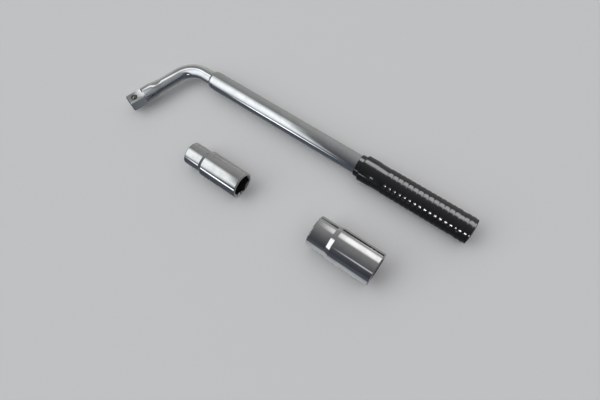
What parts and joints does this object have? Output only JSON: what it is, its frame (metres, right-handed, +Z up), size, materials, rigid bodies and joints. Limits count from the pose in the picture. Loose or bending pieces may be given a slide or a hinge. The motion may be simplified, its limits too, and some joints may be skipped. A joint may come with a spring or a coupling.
{
  "type": "lug wrench",
  "caption": "Telescopic L-shaped lug wrench with a square drive, a ribbed black grip and two loose double-ended hex sockets.",
  "frame": {"origin": "middle of the whole outline, on the surface that the wrench and sockets lie on", "axes": "+X along the tube towards the grip's closed end, +Z up out of that surface; the bent arm and the sockets lie on the -Y side of the tube"},
  "size_m": [0.3512, 0.104, 0.0318],
  "materials": {
    "chrome_handle": "bright chrome plating",
    "chrome_socket": "bright chrome plating, slightly greyer",
    "grip_black": "glossy black moulded grip",
    "nylon": "matte black nylon",
    "bush_bronze": "oiled sintered bronze",
    "ball_steel": "polished bearing steel",
    "spring_steel": "plain drawn spring steel"
  },
  "bodies": {
    "handle": {"outer_tube": "chrome_handle", "tube_end_plug": "nylon", "grip_sleeve": "grip_black"},
    "bar": {"drive_bar": "chrome_handle", "guide_bush": "bush_bronze", "bush_retaining_clip": "spring_steel", "lock_spring": "spring_steel", "drive_ball_spring": "spring_steel"},
    "lock_detent": {"lock_ball": "ball_steel"},
    "drive_detent": {"drive_ball": "ball_steel"},
    "small_socket": {"socket_17_19": "chrome_socket"},
    "large_socket": {"socket_21_23": "chrome_socket"}
  },
  "joints": [
    {"name": "bar_extend", "type": "slide", "parent": "handle", "child": "bar", "axis": [-1, 0, 0], "range_m": [0, 0.15]},
    {"name": "lock_ball_travel", "type": "slide", "parent": "bar", "child": "lock_detent", "axis": [0, 0, -1], "range_m": [0, 0.0015], "stiffness_N_per_m": 1500, "springref_m": 0.0035, "deforming": ["lock_spring"]},
    {"name": "drive_ball_press", "type": "slide", "parent": "bar", "child": "drive_detent", "axis": [0, 0, -1], "range_m": [0, 0.0012], "stiffness_N_per_m": 1500, "springref_m": -0.001, "deforming": ["drive_ball_spring"]},
    {"name": "small_socket_lift", "type": "slide", "parent": "handle", "child": "small_socket", "axis": [0, 0, 1], "range_m": [0, 0.12]},
    {"name": "large_socket_lift", "type": "slide", "parent": "handle", "child": "large_socket", "axis": [0, 0, 1], "range_m": [0, 0.12]}
  ]
}
